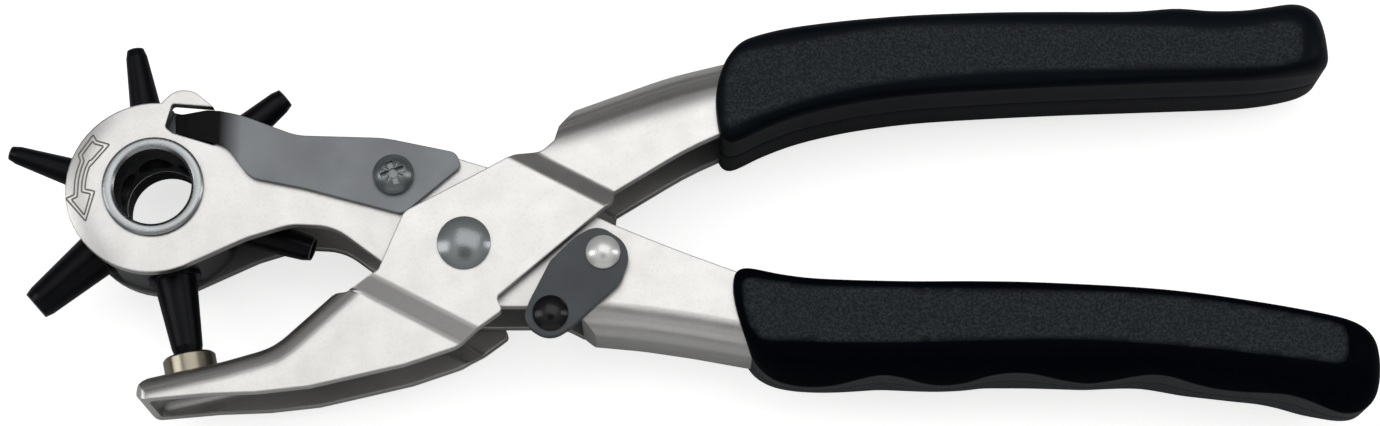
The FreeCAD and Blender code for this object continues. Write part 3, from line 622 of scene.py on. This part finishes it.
def sleeve_loops(rows, look):
    """Loops from the parting line up to the panel.

    Each holds its place, its height and its values of the panel and side attributes.
    """
    # the wall and shoulder values set how much painted reflection lightens the vinyl there
    side_grain, wall_reflection, shoulder_reflection = look
    edge, rim, wall = rows[:, :2], rows[:, 2:4], rows[:, 4]
    crease = np.radians(rows[:, 5])
    normal = inward(edge)
    top_of_groove = PARTING[-1][0]
    loops = [(edge + normal * depth, np.full(len(edge), z), side_grain, wall_reflection)
             for z, depth in PARTING]
    for share in WALL_SHARES:
        height = top_of_groove + (wall - top_of_groove) * share
        loops.append((edge, height, side_grain, wall_reflection))
    loops.append((edge, wall - SHOULDER_LEAD, side_grain, wall_reflection))
    for step in SHOULDER_STEPS:
        angle = crease + (math.pi / 2 - crease) * step
        across = (np.cos(crease) - np.cos(angle)) / np.cos(crease)
        up = (np.sin(angle) - np.sin(crease)) / (1 - np.sin(crease))
        spot = edge + (rim - edge) * across[:, None]
        height = wall + (GRIP_HALF - wall) * up
        loops.append((spot, height, 0.0, shoulder_reflection if step > 0.0 else wall_reflection))
    return loops


def sleeve_mesh(name, rows, look):
    """Closed sleeve: both sides' loops, and the two flat panels."""
    loops = sleeve_loops(rows, look)
    count = len(rows)
    stack = [(p, -z, w, s) for p, z, w, s in reversed(loops[1:])] + loops
    verts, panel, side = [], [], []
    for spot, height, grain, painted_reflection in stack:
        verts.extend((x, y, z) for (x, y), z in zip(spot, height))
        panel.extend([grain] * count)
        side.extend([painted_reflection] * count)
    faces = skin_faces(len(stack), count)
    grid, triangles = panel_triangles(rows[:, 2:4], PANEL_PITCH)
    for z, first in ((-GRIP_HALF, 0), (GRIP_HALF, (len(stack) - 1) * count)):
        base = len(verts)
        verts.extend((x, y, z) for x, y in grid)
        panel.extend([1.0] * len(grid))
        side.extend([0.0] * len(grid))
        faces.extend(tuple(first + i if i < count else base + i - count for i in tri)
                     for tri in triangles)
    shifted = [((x + PIVOT[0]) * MM, (y + PIVOT[1]) * MM, z * MM) for x, y, z in verts]
    obj = make_mesh(name, shifted, faces)
    for label, values in (("panel", panel), ("side", side)):
        attribute = obj.data.attributes.new(label, "FLOAT", "POINT")
        attribute.data.foreach_set("value", np.array(values, np.float32))
    fix_normals(obj)
    return obj


def grip(name, table, core, node, body, mat, look):
    """Moulded sleeve: side wall, crease, rounded shoulder and grained panel.

    look holds the grain of the wall, and the painted reflection that lightens the wall and the
    shoulder.
    """
    obj = sleeve_mesh(name, smooth_rows(closed_spline(table, GRIP_STEP), GRIP_SMOOTHING), look)
    obj.data.materials.append(mat)
    carve(obj, core)
    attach(obj, body)
    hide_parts(node)


# ---- arrow pressed into the turret cheek ----------------------------------
ARROW_BAND = 0.55           # gap between the two outlines
# Section of a line: offset from its middle, height over the cheek
ARROW_LINE = [(-0.17, -0.05), (-0.11, 0.03), (0.0, 0.05), (0.11, 0.03), (0.17, -0.05)]
ARROW_STEP = 0.16           # spacing of the samples along a line


def arrow(mat):
    """Double outline of a fletched arrow that shows which way the turret turns."""
    tail = [(-12.1, 5.3), (-9.9, 8.6), (-9.3, 7.6), (-7.2, 7.0), (-10.1, 3.4)]
    inner = arc_points(10.75, 161, 182, 8)
    head = [(-9.2, -0.7), (-10.4, -5.6), (-13.7, -1.9), (-12.45, -1.3)]
    outer = arc_points(12.45, 182, 160, 8)
    outline = np.array(tail + inner + head + outer)
    verts, faces = [], []
    for corners in (outline, shrunk(outline, ARROW_BAND)):
        add_line(verts, faces, smooth_rows(resampled(corners, ARROW_STEP), 1))
    obj = make_mesh("turn_arrow", verts, faces)
    fix_normals(obj)
    obj.data.materials.append(mat)
    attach(obj, "turret_lever")


def add_line(verts, faces, ring):
    """Low ridge along a closed ring on the cheek's face."""
    normal = inward(ring)
    first, count, m = len(verts), len(ring), len(ARROW_LINE)
    for (x, y), (nx, ny) in zip(ring, normal):
        for d, h in ARROW_LINE:
            verts.append(((x + nx * d) * MM, (y + ny * d) * MM, (CHEEK_Z + h) * MM))
    for i in range(count):
        j = (i + 1) % count
        for k in range(m):
            n = (k + 1) % m
            faces.append(tuple(first + c for c in (i * m + k, i * m + n, j * m + n, j * m + k)))


def shrunk(pts, amount):
    """Polygon moved inwards by an even amount, with mitred corners."""
    ahead = np.roll(pts, -1, 0) - pts
    ahead /= np.linalg.norm(ahead, axis=1)[:, None]
    side = np.stack([ahead[:, 1], -ahead[:, 0]], 1)
    x, y = pts[:, 0], pts[:, 1]
    if np.sum(x * np.roll(y, -1) - np.roll(x, -1) * y) > 0:
        side = -side
    both = side + np.roll(side, 1, 0)
    share = np.maximum(np.sum(both * side, axis=1), 0.5)
    return pts + both * (amount / share)[:, None]


def arc_points(radius, start, end, count):
    """Points on an arc about the turret axis."""
    return [(radius * math.cos(a), radius * math.sin(a))
            for a in np.radians(np.linspace(start, end, count))]


# ---- dress the CAD nodes --------------------------------------------------
nickel_anvil = lever_material("satin_nickel_anvil_side", (JAW_DOME, HANDLE_DOME))
nickel_turret = lever_material("satin_nickel_turret_side", (), True)
eyelet = eyelet_material()
zinc = metal("zinc_rivet", (0.315, 0.335, 0.345), (0.25, 0.265, 0.27), 0.20, 0.15, wear=0.3,
             metallic=0.6)[0]
wire = metal("spring_wire", (0.30, 0.30, 0.31), (0.2, 0.2, 0.2), 0.3, 0.3)[0]
FINISH = {
    "turret_lever_frame": nickel_turret,
    "anvil_lever_frame": nickel_anvil,
    "turret_bush_front": eyelet,
    "turret_bush_rear": eyelet,
    "turret_drum": turned("phosphated_drum", (0.120, 0.126, 0.132), 0.38, 0.5, 0.25,
                          metallic=0.8)[0],
    "anvil": anvil_material(),
    "index_spring": leaf_material(),
    "index_spring_screw": metal("dark_screw", (0.24, 0.26, 0.265), (0.165, 0.175, 0.18),
                                0.30, 0.3, wear=0.5, wear_color=(0.4, 0.4, 0.4),
                                metallic=0.8)[0],
    "neck_spacer": wire,
    "opening_spring": wire,
    "pivot_rivet": zinc,
    "pivot_sleeve": zinc,
    "lock_plate": metal("phosphated_plate", (0.080, 0.086, 0.092), (0.060, 0.064, 0.068),
                        0.45, 0.5, wear=0.45, wear_color=(0.45, 0.45, 0.45),
                        metallic=0.85, cloud=0.6)[0],
    "lock_pin": metal("black_stud", (0.012, 0.012, 0.014), (0.02, 0.02, 0.022), 0.2, 0.12,
                      wear=0.25, wear_color=(0.3, 0.3, 0.3), metallic=0.4)[0],
    "lock_lever_rivet": metal("polished_rivet", (0.90, 0.90, 0.89), (0.8, 0.8, 0.8),
                              0.26, 0.08, metallic=0.45)[0],
}
tube_black = tube_material()
for node_name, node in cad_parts.items():
    finish = tube_black if node_name.startswith("punch_tube") else FINISH.get(node_name)
    if finish is not None:
        node.data.materials.clear()
        node.data.materials.append(finish)

vinyl = grip_material()
grip("upper_grip_moulded", UPPER, channel_core("upper_core", UPPER_CORE, True), "upper_grip",
     "anvil_lever", vinyl, (0.0, 0.35, 0.35))
grip("lower_grip_moulded", LOWER, channel_core("lower_core", LOWER_CORE, False), "lower_grip",
     "turret_lever", vinyl, (0.8, 1.0, 0.0))
arrow(metal("pressed_arrow", (0.30, 0.285, 0.26), (0.23, 0.215, 0.20), 0.45, 0.3)[0])


# ---- stage, light and camera ----------------------------------------------
FLOOR_GAP = 0.0002          # floor below the lowest point, m
FLOOR_HALF = 3.0            # half the floor's side, m
FLOOR_GLOW = 0.72           # keeps the backdrop white under soft shadows
FLOOR_REFLECTED = (0.54, 0.54, 0.545)   # what the metal sees of the floor
TOWARDS_CAMERA = (0.0, -0.2588, 0.9659)
WORLD_GLOW = [(0.0, 0.03), (0.25, 0.08), (0.6, 0.24), (0.9, 0.62)]  # by the way up
CAMERA_DARK = (0.03, 0.03, 0.03)        # unlit wall behind the camera
# Area lights: name, place (m), width, height (m), power (W)
LIGHTS = [
    ("top_box", (0.15, 0.29, 0.80), 0.86, 0.62, 1.45),
    ("left_box", (-0.75, 0.05, 0.55), 0.35, 0.6, 1.5),
    ("right_box", (0.95, 0.15, 0.45), 0.25, 0.6, 1.1),
    ("front_card", (0.08, -0.75, 0.30), 1.3, 0.38, 0.6),
]
LIT_POINT = (0.08, 0.0, 0.0)
CAMERA_AIM = (0.0851, -0.0020, 0.0)
CAMERA_DISTANCE = 0.5       # m
CAMERA_HEIGHT = 75          # degrees above the horizon
CAMERA_LENS = 81.05         # mm, on a 36 mm sensor


def floor():
    """Large white floor; it looks darker to the metal than to the camera."""
    z = CAD_BOX[0].z - FLOOR_GAP
    s = FLOOR_HALF
    obj = make_mesh("floor", [(-s, -s, z), (s, -s, z), (s, s, z), (-s, s, z)], [(0, 1, 2, 3)])
    mat, tree, bsdf = new_material("pale_floor")
    shade = ramp(tree, noise(tree, 3.0, 2.0), [(0.0, 0.80), (1.0, 0.84)])
    seen = add(tree, "ShaderNodeLightPath").outputs["Is Camera Ray"]
    plug(tree, mix(tree, seen, FLOOR_REFLECTED, shade), bsdf.inputs["Base Color"])
    bsdf.inputs["Roughness"].default_value = 0.9
    bsdf.inputs["Specular IOR Level"].default_value = 0.0
    bsdf.inputs["Emission Color"].default_value = (1.0, 1.0, 0.995, 1)
    plug(tree, times(tree, seen, FLOOR_GLOW), bsdf.inputs["Emission Strength"])
    obj.data.materials.append(mat)


def area_light(name, spot, width, height, power):
    """Soft box that faces the tool."""
    data = bpy.data.lights.new(name, "AREA")
    data.shape = "RECTANGLE"
    data.size, data.size_y, data.energy = width, height, power
    obj = bpy.data.objects.new(name, data)
    bpy.context.scene.collection.objects.link(obj)
    obj.location = spot
    obj.rotation_euler = (Vector(LIT_POINT) - Vector(spot)).to_track_quat("-Z", "Y").to_euler()


def studio():
    """Room that is bright overhead and dark near the horizon and the camera."""
    world = bpy.data.worlds.new("studio")
    bpy.context.scene.world = world
    world.use_nodes = True
    tree = world.node_tree
    way = add(tree, "ShaderNodeTexCoord").outputs["Generated"]
    glow = ramp(tree, component(tree, way, 2), WORLD_GLOW)
    near_camera = fade(tree, dot(tree, way, TOWARDS_CAMERA), 0.935, 0.985)
    back = tree.nodes["Background"]
    plug(tree, mix(tree, near_camera, glow, CAMERA_DARK), back.inputs[0])
    back.inputs[1].default_value = 1.0
    for light in LIGHTS:
        area_light(*light)


def camera():
    """Camera over the tool, a little towards the handles' open side."""
    data = bpy.data.cameras.new("camera")
    data.sensor_width, data.lens = 36.0, CAMERA_LENS
    obj = bpy.data.objects.new("camera", data)
    bpy.context.scene.collection.objects.link(obj)
    tilt = math.radians(CAMERA_HEIGHT)
    away = Vector((0, -math.cos(tilt), math.sin(tilt)))
    obj.location = Vector(CAMERA_AIM) + CAMERA_DISTANCE * away
    obj.rotation_euler = (math.radians(90 - CAMERA_HEIGHT), 0, 0)
    bpy.context.scene.camera = obj


floor()
studio()
camera()
bpy.context.scene.view_settings.view_transform = "Standard"
